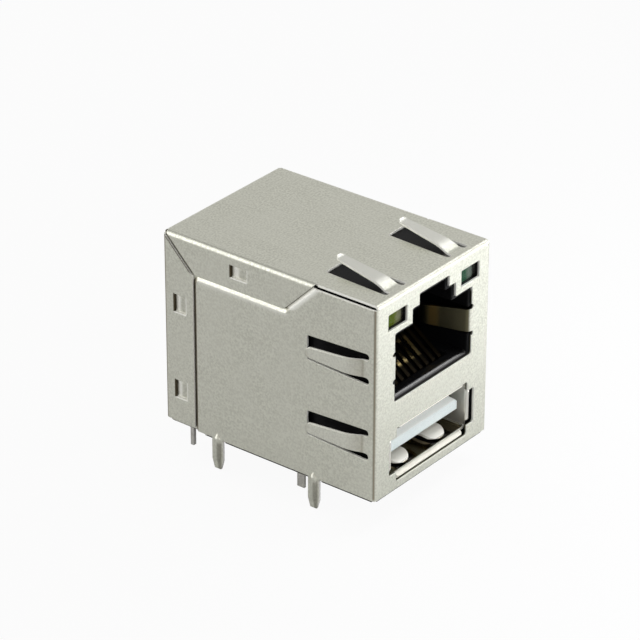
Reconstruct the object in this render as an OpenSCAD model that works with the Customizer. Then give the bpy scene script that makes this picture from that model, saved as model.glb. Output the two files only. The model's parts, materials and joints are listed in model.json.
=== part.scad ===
// Shielded board jack: a network port stacked over a USB type A port.
// Millimetres. X to the right seen from the front, Y from front to rear, Z up from the board.

/* [Shield] */
// Width over the side panels
shield_w = 18.5; // [18.3:0.1:20]
// Depth from front face to rear panel
shield_d = 26.6; // [26.2:0.1:29]
// Height of the panels from lower edge to top
shield_h = 21.45; // [21.35:0.05:23]
// Gap between the board and the panels
standoff = 0.3; // [0.2:0.05:0.5]
// Sheet thickness
sheet_t = 0.25; // [0.2:0.01:0.26]
// Outside radius of the folds
bend_r = 0.45; // [0.4:0.01:0.55]
// Height of the top's side flanges, and depth of the rear panel's
flange = 3.8; // [3.4:0.1:4.4]
// How far behind the front face the flange's slanted end starts
flange_front = 11.3; // [10.5:0.1:12.5]
// Width of the sloped step where a panel dips under a flange
joggle_w = 0.45; // [0.4:0.05:0.6]
// Gap between lapped sheets
lap_gap = 0.03; // [0.02:0.01:0.05]
// Gap between sheet edges that meet at a seam
seam_gap = 0.18; // [0.1:0.01:0.22]
// Height of the rear panel's lower edge above the side panels'
rear_lift = 0.3; // [0.1:0.05:0.8]

/* [Spring fingers] */
// Length of a finger's window
finger_l = 7.2; // [7:0.1:7.4]
// Width of a finger at its root
finger_root = 1.9; // [1.8:0.05:2]
// Width of a finger at its free end
finger_tip = 1.16; // [1.1:0.02:1.3]
// Slope of a finger at its root, in degrees
finger_rise = 24; // [22:1:26]
// Slope of a side finger's free part, in degrees
finger_slope = 2; // [1:0.5:4]
// Slope of a top finger's free part, in degrees
top_slope = 9.5; // [8:0.5:11]
// Height of the lower side fingers
finger_low = 6.35; // [5.8:0.05:7]
// Depth of the upper side fingers below the top
finger_drop = 7.03; // [6.55:0.05:7.75]
// Distance of the top fingers from the middle
finger_x = 5; // [4.4:0.1:5.4]

/* [Board legs] */
// Length of the shield's legs below the board's top
leg_l = 3.1; // [2.6:0.05:3.6]
// Width of a leg
leg_w = 1.38; // [1.2:0.02:1.5]
// Distance of the front legs behind the front face
leg_front = 7.6; // [6.6:0.1:8.6]
// Distance of the rear legs behind the front face
leg_rear = 19.85; // [18.8:0.05:20.4]
// Radius of the moulded board pegs
peg_r = 1; // [0.8:0.05:1.2]
// Length of the moulded board pegs
peg_l = 2.2; // [1.6:0.1:2.3]

/* [Network port] */
// Width of the port
rj_w = 11.84; // [11.7:0.02:12]
// Height of the port
rj_h = 6.8; // [6.7:0.05:6.9]
// Depth of the port's floor below the shield's top
rj_drop = 11.2; // [11.15:0.05:11.35]
// Depth of the port
rj_depth = 13; // [12:0.1:13.4]
// How far the shield's window clears the port
window_margin = 0.38; // [0.3:0.02:0.4]
// Width of the latch channel
latch_w = 6.3; // [6.2:0.05:6.6]
// Height of the latch channel above the port
latch_h = 1.57; // [1.4:0.01:1.6]
// Width of the catch channel above the latch channel
catch_w = 4.1; // [3.9:0.05:4.4]
// Height of the catch channel
catch_h = 1.2; // [1:0.05:1.25]
// Height of the leaf springs at the window's sides
leaf_h = 2.45; // [2.1:0.05:2.6]
// Slope of the leaf springs towards the plug, in degrees
leaf_slope = 19; // [14:1:21]
// Spacing of the contacts
pitch = 1.016; // [1:0.002:1.03]
// Width of a contact
contact_w = 0.45; // [0.4:0.01:0.5]
// Thickness of a contact
contact_t = 0.3; // [0.25:0.01:0.32]
// Slope of the contacts' spring arms, in degrees
contact_slope = 36; // [32:1:40]

/* [Lights] */
// Distance of the lights from the middle
led_x = 5.88; // [5.75:0.01:6.1]
// Width of a light
led_w = 2.8; // [2.6:0.05:2.85]
// Height of a light
led_h = 1.7; // [1.5:0.05:1.75]
// Height of the lights' middle above the port's floor
led_rise = 8.69; // [8.6:0.01:8.75]
// How far the lights' faces lie behind the front face
led_back = 0.42; // [0.36:0.02:0.6]
// Thickness of the leads
lead_t = 0.4; // [0.36:0.01:0.46]
// Spacing of a light's two leads
lead_pitch = 2.3; // [2.2:0.02:2.34]

/* [USB port] */
// Width inside the shell
usb_w = 12.5; // [12.3:0.05:12.6]
// Height inside the shell
usb_h = 4.98; // [4.94:0.02:5.08]
// Height of the shell's floor above the board
usb_z = 1.65; // [1.6:0.05:1.7]
// Thickness of the shell
usb_t = 0.28; // [0.25:0.01:0.3]
// How far the upper and lower lips of the shell's mouth flare outwards
lip_flare = 0.2; // [0.16:0.01:0.22]
// How far the side lips flare outwards
side_flare = 0.13; // [0.1:0.01:0.16]
// How far the lips' front edges lie behind the front face
lip_back = 0.12; // [0.06:0.02:0.4]
// Gap between the upper and lower lips and the shield's window
lip_gap = 0.07; // [0.05:0.01:0.1]
// Gap between the side lips and the shield's window
side_gap = 0.34; // [0.25:0.01:0.4]
// Thickness of the tongue
tongue_t = 1.84; // [1.7:0.02:1.9]
// Half the tongue's width
tongue_x = 5.55; // [5.4:0.01:5.6]
// How far the tongue's front lies behind the front face
tongue_back = 1.05; // [0.95:0.05:1.5]
// Height of the tongue's blunt front edge
tongue_edge = 1.15; // [1:0.05:1.3]
// Height of the springs in the shell's floor
crest_h = 0.57; // [0.55:0.01:0.65]

/* [Fits] */
// Gap between the moulded housing and the pieces that slide into it
slide_gap = 0.05; // [0.04:0.01:0.08]
// Gap around contacts and leads in their channels
wire_gap = 0.03; // [0.02:0.01:0.05]

/* [Hidden] */
$fn = 48;
eps = 0.01;
bend_step = 7.5;
bend_facet = 0.25;
hw = shield_w / 2;
y0 = -shield_d / 2;
y1 = shield_d / 2;
z0 = standoff;
z1 = standoff + shield_h;
mid_r = bend_r - sheet_t / 2;
lap = sheet_t + lap_gap;
z_fl = z1 - flange;
z_pan = z_fl - joggle_w;
y_rf = y1 - flange;
y_pan = y_rf - joggle_w;
y_k = y0 + flange_front;
slant = y_k + z_fl - joggle_w * sqrt(2);
corner_r = 0.85;
corner_c = [slant + corner_r * sqrt(2) - z_pan - corner_r, z_pan + corner_r];
step_tuck = 0.03;
panel_r = 0.5;
panel_c = [y_pan - panel_r, z_pan - panel_r];
edge_gap = 0.2;
edge_in = 0.3;
z_side = z1 - sheet_t - edge_gap;
z_in = z1 - bend_r - 0.1;
y_in = y1 - bend_r - 0.1;
z_rb = z0 + rear_lift;
bead_w = 0.6 * leg_w;
bead_sag = 0.24;
bead_r = (bead_w * bead_w / 4 + bead_sag * bead_sag) / (2 * bead_sag);
bead_end = 0.55;
bead_up = 0.1;
finger_high = z1 - finger_drop;
finger_y = y0 + 1.22;
finger_end = finger_l - 0.45;
slit_r = 0.36;
slit_taper = 0.33;
slit_corner = 0.12;
rj_z = z1 - rj_drop;
rj_top = rj_z + rj_h;
latch_top = rj_top + latch_h;
catch_top = latch_top + catch_h;
leaf_z = rj_z + 2.15;
leaf_x = rj_w / 2 + window_margin;
led_z = rj_z + led_rise;
led_gap = 0.11;
led_l = 5.6 - led_back;
dome_sag = 0.12;
dome_r = (led_h * led_h / 4 + dome_sag * dome_sag) / (2 * dome_sag);
socket_y = y0 + 4.6;
base_t = usb_z - usb_t;
hx = hw - sheet_t - lap - 0.1;
hy0 = y0 + sheet_t;
hy1 = y1 - sheet_t - 0.15;
hz1 = z1 - sheet_t;
y_room = y0 + 14.2;
room_x = hx - 0.75;
room_top = hz1 - 0.9;
y_ins = y0 + 17;
ins_back = hy1 - 1.75;
ins_x = 5.4;
nose_x = pitch * 3.5 + contact_w / 2 + 0.5;
nose_z = rj_z - 1.25;
nose_top = rj_z - 0.25;
run_z = rj_z - 0.85;
wrap_r = 0.4;
wrap_y = y0 + 2.25;
nose_front = wrap_y - wrap_r - contact_t / 2 - 0.15;
arm_l = 7.3;
floor_r = 0.6;
tail_y = [y_ins + 2.4, y_ins + 4.9];
tail_bend = 0.6;
tail_z = -leg_l;
lead_y = ins_back + 0.45;
lead_x = [led_x - lead_pitch / 2, led_x + lead_pitch / 2];
usb_x = usb_w / 2;
usb_top = usb_z + usb_h;
lip_r = 0.45;
lip_a = 32;
lip_corner = 0.4;
shell_y0 = y0 + lip_back + lip_l(lip_flare);
shell_y1 = y_room - 0.2;
tongue_z = usb_z + 2.2;
tongue_y0 = y0 + tongue_back;
tongue_y1 = y0 + 14.8;
block_y = y0 + 11.9;
tongue_top = tongue_z + tongue_t;
tongue_cut = 0.95;
tongue_slope = 1;
usb_tail_y = tongue_y1 + 0.45;
usb_run_z = tongue_z - 0.02;
usb_leg_y = y0 + 11.35;
usb_leg_w = 0.9;
usb_leg_z = -leg_l - 0.3;
kink = 32;
kink_r = 0.6;
spring_x = 2.97;
spring_w = 2.68;
spring_l = 8;
spring_root = y0 + 9;
spring_dip = 28;
flank_w = 1.5;
flank_l = 5.6;
flank_h = 0.33;
flank_root = y0 + 8.2;
flank_dip = 12;
slot_gap = 0.25;
peg_x = 2.25;
peg_y = y0 + 17.3;
rail_x = hw - sheet_t;
rail_y0 = y0 + 0.6;
rail_y1 = y0 + leg_rear + leg_w / 2 + 0.9;
latch_y = y1 - flange / 2 - 0.2;
bump_r = 1.3;

// A profile drawn in Y and Z, drawn out along X
module yz(h) {
    rotate(a = 120, v = [1, 1, 1])
        linear_extrude(h)
            children();
}

// A profile drawn in X and Z, drawn out along Y
module xz(h) {
    translate([0, h, 0])
        rotate([90, 0, 0])
            linear_extrude(h)
                children();
}

// Both sides of the object
module both() {
    children();
    mirror([1, 0, 0])
        children();
}

// A folded sheet seen edge on: each step is a straight run or a right-angled fold of a radius and an angle
module fold(steps, t, i = 0) {
    if (i < len(steps)) {
        run = steps[i][0];
        turn = steps[i][1];
        if (turn == 0) {
            translate([0, -t / 2])
                square([run, t]);
            translate([run, 0])
                fold(steps, t, i + 1);
        } else {
            side = turn > 0 ? 1 : -1;
            translate([0, side * run]) {
                intersection() {
                    difference() {
                        circle(run + t / 2);
                        circle(run - t / 2);
                    }
                    translate([0, side > 0 ? -2 * run : 0])
                        square(2 * run);
                }
                rotate(turn)
                    translate([0, -side * run])
                        fold(steps, t, i + 1);
            }
        }
    }
}

// Points and headings along a bent spring: each step is a straight run or a bend of a radius and an angle
function along(steps, p, a, i) =
    i == len(steps) ? [] :
    steps[i][1] == 0 ? concat([[p + steps[i][0] * [cos(a), sin(a)], a]],
        along(steps, p + steps[i][0] * [cos(a), sin(a)], a, i + 1)) :
    concat([for (k = [1:bends(steps[i])]) turned(steps[i], p, a, steps[i][1] * k / bends(steps[i]))],
        along(steps, turned(steps[i], p, a, steps[i][1])[0], a + steps[i][1], i + 1));
function bends(step) = ceil(abs(step[1]) * max(1 / bend_step, step[0] * PI / 180 / bend_facet));
function turned(step, p, a, b) =
    [p + step[0] * sign(step[1]) * ([-sin(a), cos(a)] - [-sin(a + b), cos(a + b)]), a + b];

// A bent spring seen edge on
module strip(steps, t) {
    line = concat([[[0, 0], 0]], along(steps, [0, 0], 0, 0));
    n = len(line) - 1;
    polygon(concat(
        [for (s = line) s[0] + t / 2 * [-sin(s[1]), cos(s[1])]],
        [for (k = [0:n]) line[n - k][0] - t / 2 * [-sin(line[n - k][1]), cos(line[n - k][1])]]));
}

// Rectangle with rounded corners, from its low corner
module soft_box(p, q, r) {
    translate([p[0] + r, p[1]])
        square([q[0] - p[0] - 2 * r, q[1] - p[1]]);
    translate([p[0], p[1] + r])
        square([q[0] - p[0], q[1] - p[1] - 2 * r]);
    for (x = [p[0] + r, q[0] - r], z = [p[1] + r, q[1] - r])
        translate([x, z])
            circle(r);
}

// Openings in the shield's front face
module front_windows() {
    soft_box([-leaf_x, rj_z - window_margin], [leaf_x, rj_top + window_margin], 0.3);
    latch_x = latch_w / 2 + window_margin;
    catch_x = catch_w / 2 + window_margin;
    soft_box([-latch_x, rj_top], [latch_x, latch_top + window_margin], 0.2);
    soft_box([-catch_x, latch_top], [catch_x, catch_top + window_margin], 0.2);
    for (s = [-1, 1]) {
        soft_box([s * led_x - led_w / 2 - led_gap, led_z - led_h / 2 - led_gap / 2],
            [s * led_x + led_w / 2 + led_gap, led_z + led_h / 2 + led_gap / 2], 0.15);
        for (z = [leaf_z - 0.35, leaf_z + leaf_h + 0.2])
            translate([s * leaf_x, z + 0.08])
                circle(0.27);
    }
    lip_room = usb_t + lip_flare + lip_gap;
    soft_box([-usb_x + 0.4, usb_z - lip_room], [usb_x - 0.4, usb_top + lip_room], 0.3);
    side_room = usb_t + side_flare + side_gap;
    soft_box([-usb_x - side_room, usb_z + 0.5], [usb_x + side_room, usb_top - 0.5], 0.25);
}

// Window around one spring finger, along X from the root
module finger_window() {
    h = finger_root / 2 + 2 * slit_r;
    e = h - slit_taper;
    polygon([
        [0, -h], [finger_l - slit_corner, -e], [finger_l, slit_corner - e],
        [finger_l, e - slit_corner], [finger_l - slit_corner, e], [0, h]
    ]);
    for (s = [-1, 1])
        translate([0, s * (h - slit_r)])
            circle(slit_r);
}

// One spring finger, along X from the root, rising along Z, with its tip turned up
module finger(slope) {
    lead_in = 0.25;
    rise_r = 1.2;
    rise_l = 0.5;
    back_r = 4.5;
    curl_r = 1.1;
    curl = 30;
    bent = (rise_r + back_r) * sin(finger_rise) + rise_l * cos(finger_rise) - back_r * sin(slope);
    curled = curl_r * (sin(slope + curl) - sin(slope));
    arm = (finger_end - bent - curled) / cos(slope);
    tip_r = finger_tip / 2;
    intersection() {
        rotate([90, 0, 0])
            linear_extrude(2 * finger_root, center = true)
                translate([-lead_in, -sheet_t / 2])
                    strip([
                        [lead_in, 0], [rise_r, finger_rise], [rise_l, 0], [back_r, slope - finger_rise],
                        [arm, 0], [curl_r, curl]
                    ], sheet_t);
        linear_extrude(8, center = true) {
            polygon([
                [-1, -finger_root / 2 - 0.07], [finger_end - tip_r, -tip_r],
                [finger_end - tip_r, tip_r], [-1, finger_root / 2 + 0.07]
            ]);
            translate([finger_end - tip_r, 0])
                circle(tip_r);
        }
    }
}

module at_side_finger(z) {
    translate([-hw, finger_y, z])
        rotate([-90, 0, 0])
            rotate([0, -90, 0])
                children();
}

module at_top_finger() {
    translate([-finger_x, finger_y, z1])
        rotate([0, 0, 90])
            children();
}

// Point of the flange's rounded front corner where the slanted end starts, at a radius about its middle
function corner_end(r) = corner_c - r * [sqrt(0.5), sqrt(0.5)];

// Part of the left side that lies under the flanges, in Y and Z, from a distance past the visible edge
module covered(grow) {
    r = corner_r - grow;
    difference() {
        union() {
            polygon([
                [y_pan + grow, z0 - 1], [y1 + 1, z0 - 1], [y1 + 1, z1 + 1],
                [slant + grow * sqrt(2) - z1 - 1, z1 + 1], corner_end(r), [corner_c[0], z_pan + grow],
                [panel_c[0], z_pan + grow], panel_c, [y_pan + grow, panel_c[1]]
            ]);
            translate(corner_c)
                circle(r);
        }
        translate(panel_c)
            circle(panel_r + grow);
    }
}

// Section across the step, from a place s on the visible side to e under the flange, with flat edges in the sheet
module step_section(s, e) {
    tuck = sign(e - s) * step_tuck;
    polygon([
        [s - tuck, 0], [s, 0], [e, lap], [e + tuck, lap],
        [e + tuck, lap + sheet_t], [e, lap + sheet_t], [s, sheet_t], [s - tuck, sheet_t]
    ]);
}

// Straight strip of the left panel's step along its visible edge, from a to b, seen from p and turned about X
module step_bar(p, turn, a, b) {
    translate([-hw, p[0], p[1]])
        rotate([turn, 0, 0])
            translate([0, a, -eps])
                xz(b - a)
                    mirror([1, -1])
                        step_section(0, joggle_w);
}

// Rounded corner of the step about a middle c: radii at the visible edge and under the flange
module step_corner(c, r0, r1, start, turn) {
    translate([-hw, c[0], c[1]])
        rotate(a = 120, v = [1, 1, 1])
            rotate([0, 0, start])
                rotate_extrude(angle = turn)
                    step_section(r0, r1);
}

// Left panel's step down to the part under the flanges, rounded where its strips meet
module step_strips() {
    past = 5 * eps;
    step_bar([y_pan, panel_c[1]], -90, -past, panel_c[1] - z0);
    step_corner(panel_c, panel_r, panel_r + joggle_w, 0, 90);
    step_bar([corner_c[0], z_pan], 0, -past, panel_c[0] - corner_c[0] + past);
    step_corner(corner_c, corner_r, corner_r - joggle_w, 225, 45);
    intersection() {
        step_bar(corner_end(corner_r), -45, -2 * flange, past);
        translate([-hw - 1, y0, z0])
            cube([3, shield_d, z_side - z0]);
    }
}

// Flange windows and the bumps that catch in them: middle in Y and Z, length, height
latches = [
    [y0 + 16.95, z1 - 1.85, 2.1, 1.35],
    [latch_y, z1 - 7.68, 1.55, 2],
    [latch_y, z0 + 4.04, 1.55, 2]
];

// Left panel under the flanges, with its pressed bumps
module inner_panel() {
    translate([-hw + lap, 0, 0])
        yz(sheet_t)
            intersection() {
                covered(joggle_w);
                translate([y0, z0])
                    square([y_in - y0, z_in - z0]);
            }
    for (p = latches)
        translate([-hw + lap_gap, p[0] - 0.1, p[1] - 0.06])
            intersection() {
                yz(lap + sheet_t / 2)
                    soft_box([-p[2] / 2 + 0.24, -p[3] / 2 + 0.2], [p[2] / 2 - 0.24, p[3] / 2 - 0.2], 0.3);
                translate([bump_r, 0, 0])
                    sphere(bump_r);
            }
}

// Left flanges of the top and of the rear panel, mitred at the corner
module flanges() {
    intersection() {
        translate([0, y_k - flange - 0.5, 0])
            xz(y1 - bend_r - y_k + flange + 0.5)
                translate([-hw + sheet_t / 2, z_fl])
                    rotate(90)
                        fold([[flange - bend_r, 0], [mid_r, -90], [0.1, 0]], sheet_t);
        translate([-hw - 1, 0, 0])
            yz(4) {
                polygon([
                    corner_end(corner_r - joggle_w), [corner_c[0], z_fl], [y_rf - seam_gap, z_fl],
                    [y1 - seam_gap + 1, z1 + 1], [y_k - flange - 1, z1 + 1]
                ]);
                translate(corner_c)
                    circle(corner_r - joggle_w);
            }
    }
    intersection() {
        translate([0, 0, z_rb])
            linear_extrude(z1 - bend_r - z_rb)
                translate([-hw + sheet_t / 2, y_rf])
                    rotate(90)
                        fold([[flange - bend_r, 0], [mid_r, -90], [0.1, 0]], sheet_t);
        translate([-hw - 1, 0, 0])
            yz(4)
                polygon([[y_rf, z_rb], [y1 + 1, z_rb], [y1 + 1, z1 + 1 - seam_gap], [y_rf, z_fl - seam_gap]]);
    }
}

// Front face with the side panels folded back from it
module front_and_sides() {
    difference() {
        translate([0, 0, z0])
            linear_extrude(z_side - z0)
                translate([-hw + sheet_t / 2, y1 - 1])
                    rotate(-90)
                        fold([
                            [shield_d - 1 - bend_r, 0], [mid_r, 90], [shield_w - 2 * bend_r, 0],
                            [mid_r, 90], [shield_d - 1 - bend_r, 0]
                        ], sheet_t);
        translate([-hw - 1, 0, 0])
            yz(shield_w + 2)
                covered(0);
    }
}

// Top folded back from the front face, and rear panel folded down from the top
module top_and_rear() {
    translate([-hw + bend_r, 0, 0])
        yz(shield_w - 2 * bend_r)
            translate([y0 + sheet_t / 2, z_side - 0.3])
                rotate(90)
                    fold([
                        [z1 - bend_r - z_side + 0.3, 0], [mid_r, -90], [shield_d - 2 * bend_r, 0],
                        [mid_r, -90], [z1 - bend_r - z_rb, 0]
                    ], sheet_t);
    // outer ends of the top and of its front fold, with a gap over the side panels
    intersection() {
        translate([-hw + edge_in, 0, 0])
            yz(shield_w - 2 * edge_in)
                translate([y0 + sheet_t / 2, z1 - bend_r])
                    rotate(90)
                        fold([[mid_r, -90], [flange_front - flange - bend_r - seam_gap, 0]], sheet_t);
        translate([-hw, y0 - 1, z_side + edge_gap / 3])
            cube([shield_w, shield_d, 2]);
    }
}

// Bead pressed outwards in a leg: a round ridge with tapered ends, thinner by inset
module bead(y, inset) {
    low = bead_end - leg_l;
    r = bead_r - inset;
    end_r = r * (1 - bead_sag / bead_r);
    translate([-hw + bead_r - bead_sag, y0 + y, low]) {
        translate([0, 0, bead_end])
            cylinder(h = z0 + bead_up - low - bead_end, r = r);
        translate([0, 0, z0 + bead_up - low])
            cylinder(h = bead_end, r1 = r, r2 = end_r);
        cylinder(h = bead_end, r1 = end_r, r2 = r);
    }
}

module leg_outline(y) {
    translate([y0 + y, 0])
        polygon([
            [-leg_w / 2, z0 + 0.3], [-leg_w / 2, -leg_l * 0.68], [-leg_w * 0.28, -leg_l],
            [leg_w * 0.28, -leg_l], [leg_w / 2, -leg_l * 0.68], [leg_w / 2, z0 + 0.3]
        ]);
}

module leg(y) {
    difference() {
        union() {
            translate([-hw, 0, 0])
                yz(sheet_t)
                    leg_outline(y);
            intersection() {
                bead(y, 0);
                translate([-hw - 1, y0, -leg_l])
                    cube([1 + sheet_t / 2, shield_d, leg_l + z0 + 2]);
            }
        }
        bead(y, sheet_t);
    }
}

// Leaf spring folded into the network port from the window's left side
module leaf() {
    intersection() {
        translate([-leaf_x - 0.3, y0 + sheet_t / 2, leaf_z])
            linear_extrude(leaf_h)
                strip([[0.22, 0], [0.5, 90 - leaf_slope], [3.9, 0], [1.4, 34], [0.35, 0]], sheet_t);
        translate([-hw, 0, 0])
            yz(hw)
                polygon([
                    [y0 - 1, leaf_z], [y0 + 1, leaf_z], [y0 + 8, leaf_z + 0.35],
                    [y0 + 8, leaf_z + leaf_h - 0.35], [y0 + 1, leaf_z + leaf_h], [y0 - 1, leaf_z + leaf_h]
                ]);
    }
}

module shield() {
    color([0.72, 0.72, 0.69]) {
        difference() {
            union() {
                front_and_sides();
                top_and_rear();
                both() {
                    flanges();
                    step_strips();
                    inner_panel();
                }
            }
            translate([0, y0 - 1, 0])
                xz(2)
                    front_windows();
            both() {
                for (z = [finger_low, finger_high])
                    at_side_finger(z)
                        linear_extrude(2, center = true)
                            finger_window();
                at_top_finger()
                    linear_extrude(2, center = true)
                        finger_window();
                for (p = latches)
                    translate([-hw - 1, 0, 0])
                        yz(1 + sheet_t + lap_gap / 2)
                            translate([p[0] - p[2] / 2, p[1] - p[3] / 2])
                                square([p[2], p[3]]);
                for (y = [leg_front, leg_rear])
                    bead(y, sheet_t);
            }
        }
        both() {
            for (z = [finger_low, finger_high])
                at_side_finger(z)
                    finger(finger_slope);
            at_top_finger()
                finger(top_slope);
            for (y = [leg_front, leg_rear])
                leg(y);
            leaf();
        }
    }
}

// Path of one network contact, in Y and Z, from its tail to its free end
module contact_path(k, grow) {
    ty = tail_y[k % 2];
    translate([ty, tail_z - grow])
        rotate(90)
            strip([
                [run_z - tail_bend - tail_z + grow, 0], [tail_bend, 90], [ty - tail_bend - wrap_y, 0],
                [wrap_r, -180 + contact_slope], [arm_l + grow, 0]
            ], contact_t + 2 * grow);
}

module net_contact(k) {
    color([0.85, 0.68, 0.3])
        translate([(k - 3.5) * pitch - contact_w / 2, 0, 0])
            yz(contact_w)
                contact_path(k, 0);
}

// Path of one light's lead, in Y and Z, from its tail to the light
module lead_path(grow) {
    translate([lead_y, tail_z - grow])
        rotate(90)
            strip([
                [led_z - tail_bend - tail_z + grow, 0], [tail_bend, 90], [lead_y - tail_bend - socket_y, 0]
            ], lead_t + 2 * grow);
}

module led_lead(x) {
    color([0.78, 0.77, 0.74])
        translate([x - lead_t / 2, 0, 0])
            yz(lead_t)
                lead_path(0);
}

// Path of one USB contact, in Y and Z, from its tail to its bowed front end
module usb_path(grow) {
    translate([usb_tail_y, tail_z - grow])
        rotate(90)
            strip([
                [usb_run_z - 0.5 - tail_z + grow, 0], [0.5, 90], [usb_tail_y - 0.5 - y0 - 6.4, 0],
                [2, 9], [2.1, 0], [1.2, -24], [0.7 + grow, 0]
            ], 0.25 + 2 * grow);
}

module usb_contact(k) {
    color([0.85, 0.68, 0.3])
        translate([usb_pins[k] - 0.5, 0, 0])
            yz(1)
                usb_path(0);
}

usb_pins = [-3.5, -1, 1, 3.5];

// Hollows of the network port and its latch channels
module port_hollow() {
    translate([-rj_w / 2, y0 - 1, rj_z])
        cube([rj_w, rj_depth + 1, rj_h]);
    translate([-latch_w / 2, y0 - 1, rj_top - eps])
        cube([latch_w, 11, latch_h + eps]);
    translate([-catch_w / 2, y0 - 1, latch_top - eps])
        cube([catch_w, 10, catch_h + eps]);
    both()
        translate([rj_w / 2 - eps, y0 - 1, leaf_z - 0.3])
            cube([window_margin + 0.35, 8, leaf_h + 0.6]);
}

module housing() {
    color([0.07, 0.07, 0.08])
        difference() {
            union() {
                translate([-hx, 0, 0])
                    yz(2 * hx)
                        polygon([
                            [hy0, 0], [hy1, 0], [hy1, hz1 - bend_r], [hy1 - bend_r, hz1],
                            [hy0 + bend_r, hz1], [hy0, hz1 - bend_r]
                        ]);
                both() {
                    translate([peg_x, peg_y, -peg_l]) {
                        translate([0, 0, 0.3])
                            cylinder(h = peg_l, r = peg_r);
                        cylinder(h = 0.3, r1 = peg_r - 0.3, r2 = peg_r);
                    }
                    // rail under the side panel's lower edge
                    translate([hx - 1, rail_y0, 0])
                        cube([rail_x - hx + 1, rail_y1 - rail_y0, z0 - lap_gap]);
                }
            }
            port_hollow();
            // rounded front edge of the port's floor
            translate([-rj_w / 2, hy0, rj_z - floor_r])
                difference() {
                    translate([0, -1, 0])
                        cube([rj_w, 1 + floor_r, 1 + floor_r]);
                    translate([-1, floor_r, 0])
                        rotate([0, 90, 0])
                            cylinder(h = rj_w + 2, r = floor_r);
                }
            // room for the carrier's nose under the port
            translate([-nose_x - slide_gap, nose_front, nose_z])
                cube([2 * (nose_x + slide_gap), y_room - nose_front + 1, rj_z - nose_z + eps]);
            // rear room for the carrier and the leads
            translate([-room_x, y_room, base_t])
                cube([2 * room_x, shield_d, room_top - base_t]);
            // bay for the USB shell, with room for its lips at the front
            translate([-usb_x - usb_t - slide_gap, y0 - 1, base_t])
                cube([usb_w + 2 * usb_t + 2 * slide_gap, y_room - y0 + 2, usb_h + 2 * usb_t + slide_gap]);
            translate([-usb_x - 0.9, y0 - 1, base_t - 0.6])
                cube([usb_w + 1.8, 2.2, usb_h + 2 * usb_t + 1.2]);
            both() {
                // light bay and the channels of its leads
                translate([led_x - led_w / 2 - slide_gap, y0 - 1, led_z - led_h / 2 - slide_gap])
                    cube([led_w + 2 * slide_gap, 6.6, led_h + 2 * slide_gap]);
                for (x = lead_x)
                    translate([x - lead_t / 2 - wire_gap, 0, 0])
                        yz(lead_t + 2 * wire_gap)
                            lead_path(wire_gap);
                // slots for the USB shell's legs
                translate([usb_x - 0.6, usb_leg_y - usb_leg_w / 2 - slot_gap, -1])
                    cube([usb_t + 0.95, usb_leg_w + 2 * slot_gap, base_t + 1.5]);
                // notches for the shield's legs
                for (y = [leg_front, leg_rear])
                    translate([hw - sheet_t - 0.15, y0 + y - leg_w / 2 - 0.12, -1])
                        cube([2, leg_w + 0.24, 1 + z0]);
            }
            for (k = [0:7])
                translate([(k - 3.5) * pitch - contact_w / 2 - 0.1, tail_y[k % 2] - contact_t / 2 - 0.1, -1])
                    cube([contact_w + 0.2, contact_t + 0.2, base_t + 1.5]);
            for (x = usb_pins)
                translate([x - 0.6, usb_tail_y - 0.225, -1])
                    cube([1.2, 0.45, base_t + 1.5]);
        }
}

module contact_insert() {
    color([0.1, 0.1, 0.11])
        difference() {
            union() {
                translate([-nose_x, wrap_y, nose_z])
                    cube([2 * nose_x, y_ins - wrap_y + 1, nose_top - nose_z]);
                translate([-ins_x, y_ins, base_t])
                    cube([2 * ins_x, ins_back - y_ins, nose_top + 2 - base_t]);
            }
            for (k = [0:7])
                translate([(k - 3.5) * pitch - contact_w / 2 - wire_gap, 0, 0])
                    yz(contact_w + 2 * wire_gap)
                        contact_path(k, wire_gap);
        }
}

// Body of the left light, with a face domed from its lower to its upper edge
module led_body() {
    difference() {
        translate([-led_x - led_w / 2, y0 + led_back, led_z])
            yz(led_w)
                intersection() {
                    translate([0, -led_h / 2])
                        square([led_l, led_h]);
                    union() {
                        translate([dome_r, 0])
                            circle(dome_r);
                        translate([dome_r, -led_h])
                            square([led_l, 2 * led_h]);
                    }
                }
        for (x = lead_x)
            translate([-x - lead_t / 2 - wire_gap, socket_y, led_z - lead_t / 2 - wire_gap])
                cube([lead_t + 2 * wire_gap, 2, lead_t + 2 * wire_gap]);
    }
}

module led_left() {
    color([0.62, 0.7, 0.28])
        led_body();
}

module led_right() {
    color([0.35, 0.56, 0.53])
        mirror([1, 0, 0])
            led_body();
}

// Length of a lip's straight end and of the whole lip, for one flare
function lip_run(flare) = (flare - (lip_r - usb_t / 2) * (1 - cos(lip_a))) / sin(lip_a);
function lip_l(flare) = (lip_r + usb_t / 2) * sin(lip_a) + lip_run(flare) * cos(lip_a);

// Flared lip along one edge of the USB shell's mouth: outwards is up, forwards is X
module lip(w, flare) {
    l = lip_l(flare);
    intersection() {
        rotate([90, 0, 0])
            linear_extrude(w, center = true)
                translate([-0.2, 0])
                    strip([[0.2, 0], [lip_r, lip_a], [lip_run(flare), 0]], usb_t);
        linear_extrude(4, center = true) {
            translate([-1, -w / 2])
                square([1 + l - lip_corner, w]);
            translate([-1, -w / 2 + lip_corner])
                square([1.2 + l, w - 2 * lip_corner]);
            for (s = [-1, 1])
                translate([l - lip_corner, s * (w / 2 - lip_corner)])
                    circle(lip_corner);
        }
    }
}

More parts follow.
